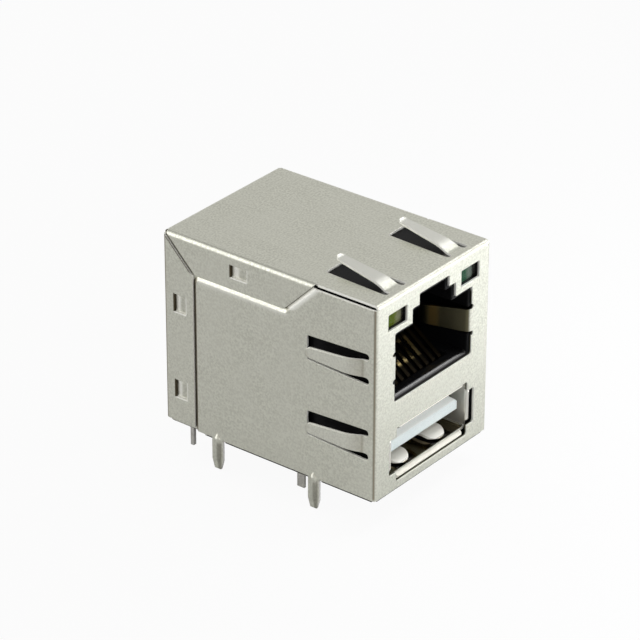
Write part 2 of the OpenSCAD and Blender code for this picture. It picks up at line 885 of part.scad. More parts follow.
// Spring tongue of the USB shell: rooted at the rear, rising along Z to a crest, with its free end along X
module shell_spring(l, w, crest, dip) {
    root_r = 2;
    crest_r = 2.5;
    tip_l = 0.85 * crest;
    rise = asin(crest / (l - 1.6));
    arm = (l - root_r * sin(rise) - crest_r * (sin(rise) + sin(dip)) - tip_l * cos(dip)) / cos(rise);
    intersection() {
        rotate([90, 0, 0])
            linear_extrude(w, center = true)
                translate([-0.3, 0])
                    strip([[0.3, 0], [root_r, rise], [arm, 0], [crest_r, -rise - dip], [tip_l, 0]], usb_t);
        linear_extrude(6, center = true) {
            translate([-1, -w / 2])
                square([l + 1 - w / 2, w]);
            translate([l - w / 2, 0])
                circle(w / 2);
        }
    }
}

module at_floor_spring() {
    translate([-spring_x, spring_root, usb_z - usb_t / 2])
        rotate([0, 0, -90])
            children();
}

module at_side_spring() {
    translate([-usb_x - usb_t / 2, flank_root, usb_z + usb_h / 2])
        rotate([0, 90, 0])
            rotate([0, 0, -90])
                children();
}

module usb_shell() {
    color([0.8, 0.8, 0.78]) {
        difference() {
            translate([0, shell_y0, 0])
                xz(shell_y1 - shell_y0)
                    difference() {
                        soft_box([-usb_x - usb_t, usb_z - usb_t], [usb_x + usb_t, usb_top + usb_t], 0.6);
                        soft_box([-usb_x, usb_z], [usb_x, usb_top], 0.3);
                    }
            both() {
                translate([-spring_x - spring_w / 2 - slot_gap, spring_root - spring_l - slot_gap, usb_z - 1])
                    cube([spring_w + 2 * slot_gap, spring_l + slot_gap, 1.2]);
                at_side_spring()
                    translate([0, -flank_w / 2 - slot_gap, -0.35])
                        cube([flank_l + slot_gap, flank_w + 2 * slot_gap, 0.7]);
            }
        }
        both() {
            at_floor_spring()
                shell_spring(spring_l, spring_w, crest_h, spring_dip);
            at_side_spring()
                shell_spring(flank_l, flank_w, flank_h, flank_dip);
            translate([-usb_x - usb_t / 2, shell_y0, usb_z + usb_h / 2])
                rotate([0, -90, 0])
                    rotate([0, 0, -90])
                        lip(usb_h - 1.4, side_flare);
            // board leg with a kink that holds it in the board
            translate([-usb_x - usb_t / 2, usb_leg_y - usb_leg_w / 2, usb_z + 0.7])
                xz(usb_leg_w)
                    rotate(-90)
                        strip([
                            [usb_z + 0.9, 0], [kink_r, -kink], [kink_r, 2 * kink], [kink_r, -kink],
                            [-0.2 - 4 * kink_r * sin(kink) - usb_leg_z, 0]
                        ], usb_t);
        }
        translate([0, shell_y0, usb_z - usb_t / 2])
            rotate([180, 0, -90])
                lip(usb_w - 1.6, lip_flare);
        translate([0, shell_y0, usb_top + usb_t / 2])
            rotate([0, 0, -90])
                lip(usb_w - 1.6, lip_flare);
    }
}

module usb_tongue() {
    color([0.85, 0.89, 0.92])
        difference() {
            union() {
                translate([0, tongue_y0, 0])
                    xz(block_y + 0.5 - tongue_y0)
                        polygon([
                            [-tongue_x, tongue_z], [tongue_x, tongue_z], [tongue_x, tongue_top - tongue_cut],
                            [tongue_x - tongue_cut, tongue_top], [-tongue_x + tongue_cut, tongue_top],
                            [-tongue_x, tongue_top - tongue_cut]
                        ]);
                translate([0, block_y, 0])
                    xz(tongue_y1 - block_y)
                        soft_box([-usb_x + slide_gap, usb_z], [usb_x - slide_gap, usb_top - slide_gap], 0.3);
            }
            // sloped upper front edge
            translate([-usb_x, 0, 0])
                yz(usb_w)
                    polygon([
                        [tongue_y0 - 1, tongue_z + tongue_edge], [tongue_y0, tongue_z + tongue_edge],
                        [tongue_y0 + tongue_slope, tongue_top], [tongue_y0 + tongue_slope, tongue_top + 1],
                        [tongue_y0 - 1, tongue_top + 1]
                    ]);
            for (x = usb_pins) {
                translate([x - 0.55, 0, 0])
                    yz(1.1)
                        usb_path(wire_gap);
                translate([x - 0.6, y0 + 2.1, tongue_z - 1])
                    cube([1.2, 5, 1.25]);
            }
        }
}

module net_contact_1() {
    net_contact(0);
}

module net_contact_2() {
    net_contact(1);
}

module net_contact_3() {
    net_contact(2);
}

module net_contact_4() {
    net_contact(3);
}

module net_contact_5() {
    net_contact(4);
}

module net_contact_6() {
    net_contact(5);
}

module net_contact_7() {
    net_contact(6);
}

module net_contact_8() {
    net_contact(7);
}

module led_left_lead_outer() {
    led_lead(-lead_x[1]);
}

module led_left_lead_inner() {
    led_lead(-lead_x[0]);
}

module led_right_lead_inner() {
    led_lead(lead_x[0]);
}

module led_right_lead_outer() {
    led_lead(lead_x[1]);
}

module usb_contact_1() {
    usb_contact(0);
}

module usb_contact_2() {
    usb_contact(1);
}

module usb_contact_3() {
    usb_contact(2);
}

module usb_contact_4() {
    usb_contact(3);
}

shield();
housing();
contact_insert();
net_contact_1();
net_contact_2();
net_contact_3();
net_contact_4();
net_contact_5();
net_contact_6();
net_contact_7();
net_contact_8();
led_left();
led_right();
led_left_lead_outer();
led_left_lead_inner();
led_right_lead_inner();
led_right_lead_outer();
usb_shell();
usb_tongue();
usb_contact_1();
usb_contact_2();
usb_contact_3();
usb_contact_4();
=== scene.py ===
# %% [markdown]
# # A shielded stacked jack
# This lesson dresses one small electronic part: a network port stacked over a flat serial port, wrapped
# in a folded sheet of plated metal. Every piece of it is rigid, so all the shapes come from a imported CAD
# model, which is loaded as a fixed frame. Blender's share is the finish of each surface, the light and the
# camera. The box of the CAD model is kept at once.

# %% Load the frame
import json
import math

import bpy
import numpy as np
from mathutils import Matrix, Vector

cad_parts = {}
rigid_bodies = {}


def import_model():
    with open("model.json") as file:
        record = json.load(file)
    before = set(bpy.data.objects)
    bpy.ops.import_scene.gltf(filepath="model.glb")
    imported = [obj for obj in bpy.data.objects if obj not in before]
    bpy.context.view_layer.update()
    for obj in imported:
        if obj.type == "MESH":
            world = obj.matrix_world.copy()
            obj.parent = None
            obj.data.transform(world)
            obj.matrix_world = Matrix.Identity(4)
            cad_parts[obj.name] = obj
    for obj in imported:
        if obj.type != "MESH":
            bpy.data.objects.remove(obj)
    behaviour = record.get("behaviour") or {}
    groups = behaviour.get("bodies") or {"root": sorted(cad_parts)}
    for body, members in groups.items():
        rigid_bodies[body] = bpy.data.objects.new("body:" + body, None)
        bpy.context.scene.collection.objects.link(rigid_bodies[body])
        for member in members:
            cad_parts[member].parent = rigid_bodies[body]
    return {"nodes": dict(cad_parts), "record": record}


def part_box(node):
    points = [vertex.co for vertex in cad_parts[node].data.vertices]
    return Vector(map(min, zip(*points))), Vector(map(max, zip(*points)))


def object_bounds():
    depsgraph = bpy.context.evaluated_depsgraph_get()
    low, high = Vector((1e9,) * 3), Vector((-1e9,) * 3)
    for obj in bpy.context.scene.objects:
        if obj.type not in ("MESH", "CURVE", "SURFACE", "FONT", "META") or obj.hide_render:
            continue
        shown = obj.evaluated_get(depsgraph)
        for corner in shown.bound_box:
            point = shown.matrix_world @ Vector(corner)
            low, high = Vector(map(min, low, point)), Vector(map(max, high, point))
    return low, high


for leftover in list(bpy.data.objects):
    bpy.data.objects.remove(leftover)
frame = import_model()
cad_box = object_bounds()
NODES = frame["nodes"]
MM = 0.001
print("loaded", len(NODES), "nodes, lowest corner", [round(v / MM, 2) for v in cad_box[0]], "mm")

# %% [markdown]
# ## The camera
# A product photograph is taken from far away with a long lens, so that edges stay nearly parallel. The
# camera could be turned by hand until the view looks right. Here it is placed by its angles, a distance
# and the point it looks at, because these are easy to read and to change.

# %% Camera
AZIMUTH, ELEVATION, ROLL = -51.945, 28.265, 0.138
DISTANCE = 356.34 * MM
TARGET = Vector((2.602, 2.80, 10.12)) * MM
SENSOR, LENS = 36.0, 198.84
CLIP_NEAR, CLIP_FAR = 0.01, 10.0


def camera_axes(azimuth, elevation, roll):
    """Right, up and back of a camera at two angles, with right turned towards up by the roll."""
    a, e, r = (math.radians(angle) for angle in (azimuth, elevation, roll))
    back = Vector((math.sin(a) * math.cos(e), -math.cos(a) * math.cos(e), math.sin(e)))
    right = Vector((0, 0, 1)).cross(back).normalized()
    up = back.cross(right)
    return math.cos(r) * right + math.sin(r) * up, math.cos(r) * up - math.sin(r) * right, back


def place_camera():
    """A camera whose matrix has the three directions as its columns and the eye as its place."""
    axes = camera_axes(AZIMUTH, ELEVATION, ROLL)
    lens = bpy.data.cameras.new("camera")
    lens.sensor_width, lens.lens = SENSOR, LENS
    lens.clip_start, lens.clip_end = CLIP_NEAR, CLIP_FAR
    camera = bpy.data.objects.new("camera", lens)
    camera.matrix_world = Matrix(axes).transposed().to_4x4()
    camera.location = TARGET + DISTANCE * axes[2]
    bpy.context.scene.collection.objects.link(camera)
    bpy.context.scene.camera = camera
    return camera


camera = place_camera()
print("camera at", [round(v / MM, 1) for v in camera.location], "mm")

# %% [markdown]
# ## Helpers for node trees
# A material is a graph of nodes. It could be drawn by hand in the shader editor, but building it in code
# takes the same few moves over and over: put a node down with its settings, join sockets, do a sum. Short
# helpers for these moves keep the materials below readable.

# %% Nodes and links


def put(tree, kind, **settings):
    """A new node, with inputs set by their names and everything else as attributes."""
    node = tree.nodes.new(kind)
    for name, value in settings.items():
        socket = node.inputs.get(name.replace("_", " "))
        if socket is None:
            setattr(node, name, value)
        else:
            socket.default_value = value
    return node


def join(tree, *pairs):
    """Links the first socket of each pair to the second."""
    for start, end in pairs:
        tree.links.new(start, end)


def clear_tree(owner):
    """Switches on the nodes of a material or a world, and empties its tree."""
    owner.use_nodes = True
    owner.node_tree.nodes.clear()
    return owner.node_tree


def split(tree, vector):
    """The parts of a vector, as sockets that are found by the names X, Y and Z."""
    node = put(tree, "ShaderNodeSeparateXYZ")
    tree.links.new(vector, node.inputs[0])
    return node.outputs


print("helpers for nodes and links are ready")

# %% [markdown]
# A mask is a number from 0 to 1 that changes over a surface. Most masks below are a smooth step of some
# distance, and several of them are multiplied to cut out a place, or compared to join places. A hard limit
# would do, but a smooth step leaves no jagged line.

# %% Sums


def math_node(tree, operation, first, second=0.0):
    """A math node fed by sockets or by plain numbers, given back as its output socket."""
    node = put(tree, "ShaderNodeMath", operation=operation)
    for socket, value in zip(node.inputs, (first, second)):
        if isinstance(value, (int, float)):
            socket.default_value = value
        else:
            tree.links.new(value, socket)
    return node.outputs[0]


def minus(tree, first, second):
    """The first value less the second."""
    return math_node(tree, "SUBTRACT", first, second)


def product(tree, first, *others):
    """All the values multiplied."""
    for other in others:
        first = math_node(tree, "MULTIPLY", first, other)
    return first


def most(tree, first, *others):
    """The largest of the values."""
    for other in others:
        first = math_node(tree, "MAXIMUM", first, other)
    return first


print("helpers for sums are ready")

# %% Steps and mixed colours
# Where the sockets of a Mix node are when it mixes colours.
MIX_SHARE, MIX_FIRST, MIX_SECOND, MIX_RESULT = 0, 6, 7, 2


def ease(tree, value, low, high, start=0.0, end=1.0):
    """A smooth step of a value between two limits, given back as its output socket."""
    node = put(tree, "ShaderNodeMapRange", interpolation_type="SMOOTHSTEP")
    for name, number in zip(("From Min", "From Max", "To Min", "To Max"), (low, high, start, end)):
        node.inputs[name].default_value = number
    tree.links.new(value, node.inputs["Value"])
    return node.outputs[0]


def fade(tree, value, low, high):
    """A smooth step down, from 1 at the low limit to 0 at the high one."""
    return ease(tree, value, low, high, 1.0, 0.0)


def between(tree, mask, start, end):
    """A number that goes smoothly from one value to another while a mask goes from 0 to 1."""
    return ease(tree, mask, 0.0, 1.0, start, end)


def near(tree, value, middle, inner, outer):
    """A mask that is 1 within one distance of the middle on either side, and 0 past another."""
    return fade(tree, math_node(tree, "ABSOLUTE", minus(tree, value, middle)), inner, outer)


def mix_color(tree, share, first, second):
    """Two colours, each a socket or a plain colour, mixed by a mask."""
    node = put(tree, "ShaderNodeMix", data_type="RGBA")
    tree.links.new(share, node.inputs[MIX_SHARE])
    for place, value in ((MIX_FIRST, first), (MIX_SECOND, second)):
        if isinstance(value, tuple):
            node.inputs[place].default_value = (*value, 1)
        else:
            tree.links.new(value, node.inputs[place])
    return node.outputs[MIX_RESULT]


print("helpers for steps and colours are ready")

# %% [markdown]
# A node group is a small tree with sockets of its own, which several materials can place and set
# differently. The same nodes could be copied into each material, but a group is built and mended once.

# %% Groups and materials


def new_group(name, inputs, outputs):
    """An empty node group with named sockets: inputs by kind and default, outputs as plain numbers."""
    tree = bpy.data.node_groups.new(name, "ShaderNodeTree")
    for label, (kind, default) in inputs.items():
        socket = tree.interface.new_socket(label, in_out="INPUT", socket_type="NodeSocket" + kind)
        if default is not None:
            socket.default_value = default
    for label in outputs:
        tree.interface.new_socket(label, in_out="OUTPUT", socket_type="NodeSocketFloat")
    return tree, tree.nodes.new("NodeGroupInput"), tree.nodes.new("NodeGroupOutput")


def use_group(tree, group, vector, **settings):
    """Places a node group in a material, fed by a vector and by its own values."""
    node = put(tree, "ShaderNodeGroup", node_tree=group)
    for name, value in settings.items():
        node.inputs[name.replace("_", " ")].default_value = value
    tree.links.new(vector, node.inputs["Vector"])
    return node


def new_material(name):
    """A material with one Principled shader, and the node that gives its coordinates."""
    material = bpy.data.materials.new(name)
    tree = clear_tree(material)
    shader = put(tree, "ShaderNodeBsdfPrincipled")
    place = put(tree, "ShaderNodeTexCoord")
    join(tree, (shader.outputs[0], put(tree, "ShaderNodeOutputMaterial").inputs["Surface"]))
    return material, tree, shader, place


print("helpers for groups and materials are ready")

# %% [markdown]
# ## The floor
# The part stands on a wide pale floor, like a sheet of paper in a studio. Metal shows what is around it, so
# the floor matters as much as the lamps. It could be one bright white surface, but then the part would cast
# no shadow. So to the camera most of its colour is plain white, and the rest is real diffuse paper, which
# takes the soft shadow. Reflections get a smaller share of the plain white, so that the metal shows the
# paper's light and shade.

# %% Floor
FLOOR_HALF = 1.2
PAPER = (0.64, 0.64, 0.64, 1)
WHITE_TO_EYE, WHITE_TO_GLOSS = 0.94, 0.10


def floor_mesh(half, z):
    """A square grid: parameters u and v from -1 to 1 give x = half u and y = half v at one height."""
    u, v = np.meshgrid([-1.0, 1.0], [-1.0, 1.0])
    points = np.stack([half * u, half * v, np.full_like(u, z)], -1).reshape(-1, 3)
    mesh = bpy.data.meshes.new("floor")
    mesh.from_pydata(points.tolist(), [], [(0, 1, 3, 2)])
    return mesh


def floor_finish():
    """Diffuse paper, mixed towards white by the kind of ray that looks at it."""
    material = bpy.data.materials.new("pale_paper")
    tree = clear_tree(material)
    path = put(tree, "ShaderNodeLightPath")
    gloss = math_node(tree, "ADD", path.outputs["Is Glossy Ray"], path.outputs["Is Transmission Ray"])
    share = math_node(tree, "ADD", product(tree, path.outputs["Is Camera Ray"], WHITE_TO_EYE),
                      product(tree, gloss, WHITE_TO_GLOSS))
    mix = put(tree, "ShaderNodeMixShader")
    join(tree,
         (share, mix.inputs[0]),
         (put(tree, "ShaderNodeBsdfDiffuse", Color=PAPER).outputs[0], mix.inputs[1]),
         (put(tree, "ShaderNodeEmission", Strength=1.0).outputs[0], mix.inputs[2]),
         (mix.outputs[0], put(tree, "ShaderNodeOutputMaterial").inputs["Surface"]))
    return material


floor = bpy.data.objects.new("floor", floor_mesh(FLOOR_HALF, cad_box[0].z))
floor.data.materials.append(floor_finish())
bpy.context.scene.collection.objects.link(floor)
print("floor at", round(cad_box[0].z / MM, 2), "mm")

# %% [markdown]
# ## The world
# A photographer's white screens stand around the table, and the ceiling above it is dark. The screens could
# be built as planes. A soft grey dome that is lighter towards the horizon gives metal the same things to
# show, and it lights every side of the part. The camera sees plain white instead of the dome.

# %% World
HORIZON, ZENITH = 0.71, 0.20
DOME_LIMITS = 0.35, 0.95
DOME_TINT, WHITE = (1.0, 0.995, 0.98, 1), (1, 1, 1, 1)


def studio_world():
    """Grey dome between two strengths by the height of the direction, white where the camera sees it."""
    world = bpy.data.worlds.new("studio")
    tree = clear_tree(world)
    path = put(tree, "ShaderNodeLightPath")
    height = split(tree, put(tree, "ShaderNodeTexCoord").outputs["Generated"])["Z"]
    dome = put(tree, "ShaderNodeBackground", Color=DOME_TINT)
    white = put(tree, "ShaderNodeBackground", Color=WHITE, Strength=1.0)
    mix = put(tree, "ShaderNodeMixShader")
    join(tree,
         (ease(tree, height, *DOME_LIMITS, HORIZON, ZENITH), dome.inputs["Strength"]),
         (path.outputs["Is Camera Ray"], mix.inputs[0]),
         (dome.outputs[0], mix.inputs[1]),
         (white.outputs[0], mix.inputs[2]),
         (mix.outputs[0], put(tree, "ShaderNodeOutputWorld").inputs["Surface"]))
    return world


bpy.context.scene.world = studio_world()
print("dome from", ZENITH, "above to", HORIZON, "at the horizon")

# %% [markdown]
# ## The lamps
# Soft boxes do the rest, each for one thing that the part has to show. One hangs over the paper in front
# and shines straight down through a grid, so the front face mirrors a brighter floor than the left side
# does, while the deep ports stay dark. The key and the lip light come from high on the right, and the lip
# light reaches into the port and draws the bright line on its lower lip. A fill and a low card light the
# front. A wide screen behind the left side draws the bright lines along the folds there. One strong lamp
# could light all of it, but its hard mirror image would run across the metal.
#
# An area lamp's watts spread over its surface, so a wide lamp looks dimmer than a small one of the same
# power. A grid in front of a lamp narrows its beam, which Blender calls the spread.

# %% Lamps
OPEN_BEAM, GRID_BEAM = 180.0, 65.0
PAPER_SPOT, PAPER_HEIGHT = Vector((0.06, -0.08, 0.0)), Vector((0.0, 0.0, 0.16))
PAPER_SIZE, PAPER_WATTS, PAPER_TINT = 0.08, 0.088, (0.95, 0.975, 1.0)
# Each lamp that faces the part: its name, distance and direction from the target, size and watts.
LAMPS = (
    ("key", 0.5, (0.69, 0.0, 0.72), 0.14, 0.09),
    ("lip_light", 0.5, (0.69, -0.26, 0.67), 0.12, 0.11),
    ("fill", 0.4, (-0.22, -0.88, 0.42), 0.3, 0.36),
    ("front_card", 0.35, (0.69, -0.71, 0.12), 0.2, 0.3),
    ("rear_screen", 0.5, (-0.46, 0.81, 0.36), 0.64, 1.4))


def soft_box(name, place, aim, size, watts, beam=OPEN_BEAM):
    """A square area lamp at a place, facing a point, with a beam of so many degrees."""
    data = bpy.data.lights.new(name, "AREA")
    data.shape, data.size = "SQUARE", size
    data.energy, data.spread = watts, math.radians(beam)
    lamp = bpy.data.objects.new(name, data)
    lamp.location = place
    lamp.rotation_euler = (place - aim).to_track_quat("Z", "Y").to_euler()
    bpy.context.scene.collection.objects.link(lamp)
    return lamp


paper_light = soft_box(
    "paper_light", PAPER_SPOT + PAPER_HEIGHT, PAPER_SPOT, PAPER_SIZE, PAPER_WATTS, GRID_BEAM)
paper_light.data.color = PAPER_TINT
for name, distance, direction, size, watts in LAMPS:
    soft_box(name, TARGET + distance * Vector(direction), TARGET, size, watts)
print("lamps:", [paper_light.name] + [lamp[0] for lamp in LAMPS])

# %% [markdown]
# ## Grain of a rolled sheet
# Plated sheet is rolled before it is folded, so it has a fine grain with faint streaks along the rolling
# direction, and the plating lies a little cloudy on it. Scratches could be modelled, but at this scale a
# noise stretched along one axis gives the same look. The effect is a node group, because several metals
# here need it with different values.

# %% Grain group
STREAK_STRETCH = (1, 0.05, 1)
FINE_SHARE, STREAK_SHARE = 0.82, 0.18
NOISE_LIMITS = 0.3, 0.7


def grain_group():
    """Fine noise plus noise stretched along Y, and a slow cloud, each from 0 to 1."""
    tree, given, result = new_group(
        "rolled_grain",
        {"Vector": ("Vector", None), "Fine": ("Float", 4600.0), "Streak": ("Float", 3600.0),
         "Cloud": ("Float", 240.0)},
        ("Grain", "Cloud"))
    stretch = put(tree, "ShaderNodeVectorMath", operation="MULTIPLY")
    stretch.inputs[1].default_value = STREAK_STRETCH
    fine = put(tree, "ShaderNodeTexNoise", Detail=1.0, Roughness=0.5)
    streak = put(tree, "ShaderNodeTexNoise", Detail=2.0)
    cloud = put(tree, "ShaderNodeTexNoise", Detail=3.0, Roughness=0.55)
    grain = math_node(tree, "ADD", product(tree, fine.outputs[0], FINE_SHARE),
                      product(tree, streak.outputs[0], STREAK_SHARE))
    join(tree,
         (given.outputs["Vector"], fine.inputs["Vector"]),
         (given.outputs["Vector"], cloud.inputs["Vector"]),
         (given.outputs["Vector"], stretch.inputs[0]),
         (stretch.outputs[0], streak.inputs["Vector"]),
         (given.outputs["Fine"], fine.inputs["Scale"]),
         (given.outputs["Streak"], streak.inputs["Scale"]),
         (given.outputs["Cloud"], cloud.inputs["Scale"]),
         (ease(tree, grain, *NOISE_LIMITS), result.inputs["Grain"]),
         (ease(tree, cloud.outputs[0], *NOISE_LIMITS), result.inputs["Cloud"]))
    return tree


GRAIN = grain_group()
print("group", GRAIN.name, "puts out", [socket.name for socket in GRAIN.nodes["Group Output"].inputs][:-1])

# %% [markdown]
# ## Places on a folded sheet
# The shield's finish changes from place to place: its cut edges, folds, seams and latches all have tones of
# their own. They could be painted by hand on an unwrapped copy of the sheet. Here each is a mask worked out
# from where a point lies and which way it faces, because the sheet's measures are known and such a mask
# stays sharp from close by. The distances to the panels come first, as all the masks use them.

# %% Distances to the panels
PANEL_X, FRONT_Y, REAR_Y, TOP_Z = 9.25 * MM, -13.3 * MM, 13.3 * MM, 21.75 * MM
SHEET = 0.26 * MM


def sheet_places(tree, given):
    """Place, size of each part of the normal, and distance outside the side, front and top panels.

    side = |x| - half width, front = front - y and top = z - top, each 0 on the outside of its panel.
    """
    place = split(tree, given.outputs["Vector"])
    flat = put(tree, "ShaderNodeVectorMath", operation="ABSOLUTE")
    join(tree, (given.outputs["Normal"], flat.inputs[0]))
    normal = split(tree, flat.outputs[0])
    return {
        "y": place["Y"], "z": place["Z"], "nx": normal["X"], "ny": normal["Y"], "nz": normal["Z"],
        "side": minus(tree, math_node(tree, "ABSOLUTE", place["X"]), given.outputs["Half width"]),
        "front": minus(tree, given.outputs["Front"], place["Y"]),
        "top": minus(tree, place["Z"], given.outputs["Top"])}


print("panels at", [round(v / MM, 2) for v in (PANEL_X, FRONT_Y, REAR_Y, TOP_Z)], "mm")

# %% [markdown]
# ## Cut edges and folds
# Where a press cuts a sheet, the edge is a bright, rough strip as thick as the sheet. The upright folds
# mirror dark surroundings, and that dark, brownish reflection is painted into their colour. A modelled
# strip along each edge would be a lot of work. A mask finds them from the shape itself: a cut edge lies in
# a panel and faces along it, and an upright fold faces half to the side and half to the front or the rear.

# %% Cut and fold masks
ALONG = 0.38
FOLD_TURN, FOLD_FRONT, FOLD_LEVEL = (0.1, 0.42), (0.55, 0.85), (0.2, 0.6)
FOLD_FOOT, FOLD_OUT, OUT_SHARE = (0.2 * MM, 0.6 * MM), (0.0, 0.15 * MM), 0.35


def cut_mask(tree, at):
    """1 within a sheet's thickness of a panel's outside, where the normal points along that panel."""
    cut = 0.0
    for depth, facing in (("side", "nx"), ("front", "ny"), ("top", "nz")):
        in_panel = math_node(tree, "GREATER_THAN", at[depth], -SHEET)
        along = math_node(tree, "LESS_THAN", at[facing], ALONG)
        cut = most(tree, product(tree, in_panel, along), cut)
    return cut


def fold_reflection_mask(tree, at):
    """Painted dark reflection on upright folds, from a step of |nx ny|.

    Less towards the front or rear, on level faces, on legs and outside the sides.
    """
    return product(tree,
                   ease(tree, product(tree, at["nx"], at["ny"]), *FOLD_TURN),
                   fade(tree, at["ny"], *FOLD_FRONT),
                   fade(tree, at["nz"], *FOLD_LEVEL),
                   ease(tree, at["z"], *FOLD_FOOT),
                   ease(tree, at["side"], *FOLD_OUT, 1.0, OUT_SHARE))


print("cut edges are", round(SHEET / MM, 2), "mm wide")

# %% [markdown]
# ## Springs in the port and over the panels
# Leaf springs are folded back into the network port, where their colour is a painted shade, with a bronze
# band part of the way in. The fingers on the top and the sides stand clear of the panels and get a painted
# highlight, for the light they catch from all round. They could have materials of their own, but they are
# one sheet with the rest, so masks by depth and height tell them apart.

# %% Port and finger masks
PORT_MOUTH, PORT_END = (-0.2 * MM, -0.02 * MM), (-9.0 * MM, -8.0 * MM)
PORT_SIDE, PORT_ROOF = (-2.6 * MM, -2.2 * MM), (17.0 * MM, 17.4 * MM)
BAND_DEPTH, BAND_HALF = -3.6 * MM, (0.2 * MM, 0.8 * MM)
STAND_OUT, SIDE_SHARE = (0.05 * MM, 0.5 * MM), 0.2


def port_mask(tree, at):
    """1 behind the front face, within the width, the depth and the height of the port."""
    return product(tree,
                   fade(tree, at["front"], *PORT_MOUTH),
                   ease(tree, at["front"], *PORT_END),
                   fade(tree, at["side"], *PORT_SIDE),
                   fade(tree, at["z"], *PORT_ROOF))


def raised_highlight_mask(tree, at):
    """Painted highlight of the raised fingers.

    Rises with the distance over the top panel, and by a small share outside the side panels.
    """
    over_side = ease(tree, at["side"], *STAND_OUT, 0.0, SIDE_SHARE)
    return most(tree, ease(tree, at["top"], *STAND_OUT), over_side)


print("bronze band", round(-BAND_DEPTH / MM, 2), "mm behind the front face")

# %% [markdown]
# ## Seam and joggle of the side panels
# The flanges of the top and the rear meet in a slanted seam, which shows as a dark line of shade. They lap
# over a part of the side panel that is stepped inwards, a joggle, and the rim of that step catches the
# light. The step itself is in the CAD model. It is so shallow that its shading alone stays faint, so the
# seam gets a painted shade and the rim a painted highlight.

# %% Seam and joggle masks
FACING_SIDE = 0.5, 0.8
SEAM_HALF, SEAM_FOOT = (0.22 * MM, 0.42 * MM), (-3.9 * MM, -3.6 * MM)
STEP_Z, STEP_SLANT, STEP_REAR = 17.5 * MM, 15.31 * MM, 9.0 * MM
RIM_START, RIM_END, REAR_FADE = (-0.55 * MM, 0.0), (0.3 * MM, 0.5 * MM), 0.3 * MM
LEVEL_RIM, LEVEL_SHARE, SLANT_RIM = (0.0, 0.06 * MM), 0.6, (0.45 * MM, 0.8 * MM)


# The seam gets a painted shade along its line.
def seam_shade_mask(tree, at):
    """Near the line y - z = rear - top on a side, down to the end of the seam."""
    across = minus(tree, at["y"], at["z"])
    return product(tree,
                   near(tree, across, REAR_Y - TOP_Z, *SEAM_HALF),
                   ease(tree, at["nx"], *FACING_SIDE),
                   ease(tree, at["top"], *SEAM_FOOT))


# The joggle rim gets a painted highlight.
def joggle_highlight_mask(tree, at):
    """A band about the line where min(z - step, (y + z - slant) / sqrt 2) = 0, on a side.

    Along the level stretch only the lower part of the band counts, by a share. The slanted one is full.
    """
    level = minus(tree, at["z"], STEP_Z)
    slant = minus(tree, math_node(tree, "ADD", at["y"], at["z"]), STEP_SLANT)
    rim = math_node(tree, "MINIMUM", level, product(tree, slant, math.sqrt(0.5)))
    strength = most(tree, ease(tree, level, *LEVEL_RIM, LEVEL_SHARE, 0.0), ease(tree, level, *SLANT_RIM))
    return product(tree,
                   ease(tree, rim, *RIM_START),
                   fade(tree, rim, *RIM_END),
                   fade(tree, at["y"], STEP_REAR - REAR_FADE, STEP_REAR),
                   ease(tree, at["nx"], *FACING_SIDE),
                   strength)


print("joggle from", round(STEP_Z / MM, 2), "mm up, seam", round(2 * SEAM_HALF[0] / MM, 2), "mm wide")

# %% [markdown]
# ## Latches and legs
# Small pressed bumps of the side panels catch in windows of the flanges. Each window gets a painted
# shadow line at its rear edge, painted highlights on its cut edges below and in front, and a bump with
# painted shade towards the front and a painted highlight towards the rear. The beaded legs get a painted
# shade stripe down one side of the bead. Bumps and beads are modelled, but only tenths of a millimetre
# high, so their light and shade are strengthened here by painted tones.

# %% Latch and leg masks
# Each latch window: its middle along y and z, and half its sizes along them, in millimetres.
LATCHES = ((3.65, 19.90, 1.05, 0.675), (11.2, 14.07, 0.775, 1.0), (11.2, 4.34, 0.775, 1.0))
WINDOW_FADE = 0.06 * MM
REAR_LINE, FOOT_LINE, FRONT_LINE = (0.03 * MM, 0.11 * MM), (0.07 * MM, 0.16 * MM), (0.05 * MM, 0.13 * MM)
SHADE_PLACE, SHADE_HALF, SHADE_SHARE, SHADE_DEPTH = -0.35, 0.5, 0.16, (-0.12 * MM, -0.05 * MM)
GLOW_PLACE, GLOW_INNER, GLOW_OUTER, GLOW_SHARE = 0.42, 0.1, 0.5, 0.8
LEGS = (-5.70 * MM, 6.55 * MM)
STRIPE_SHIFT, STRIPE_HALF = 0.28 * MM, (0.1 * MM, 0.34 * MM)
STRIPE_TOP, STRIPE_SHARE = (-0.3 * MM, 0.3 * MM), 0.5


def latch_masks(tree, at, latch):
    """Dark and light masks of one latch window.

    Dark, a painted shade: near the rear edge, and a faint shade on the front half of the bump. Light, a
    painted highlight: near the lower edge and the front edge, and a stripe on the rear half of the bump.
    """
    y, z, half_y, half_z = (length * MM for length in latch)
    along = near(tree, at["y"], y, half_y, half_y + WINDOW_FADE)
    upright = near(tree, at["z"], z, half_z, half_z + WINDOW_FADE)
    rear = near(tree, at["y"], y + half_y, *REAR_LINE)
    front = near(tree, at["y"], y - half_y, *FRONT_LINE)
    foot = near(tree, at["z"], z - half_z, *FOOT_LINE)
    shade = near(tree, at["y"], y + SHADE_PLACE * half_y, 0.0, SHADE_HALF * half_y)
    shade = product(tree, shade, SHADE_SHARE, fade(tree, at["side"], *SHADE_DEPTH))
    glow = near(tree, at["y"], y + GLOW_PLACE * half_y, GLOW_INNER * half_y, GLOW_OUTER * half_y)
    upright_lines = most(tree, front, product(tree, glow, GLOW_SHARE))
    dark = product(tree, most(tree, rear, shade), upright)
    light = most(tree, product(tree, foot, along), product(tree, upright_lines, upright))
    return dark, light


def stripe_shade_mask(tree, at, leg):
    """A painted shade stripe in front of a leg's middle, which fades out above the board."""
    return product(tree,
                   near(tree, at["y"], leg - STRIPE_SHIFT, *STRIPE_HALF),
                   ease(tree, at["z"], *STRIPE_TOP, STRIPE_SHARE, 0.0))


print("masks for", len(LATCHES), "latches and", len(LEGS), "legs on each side")
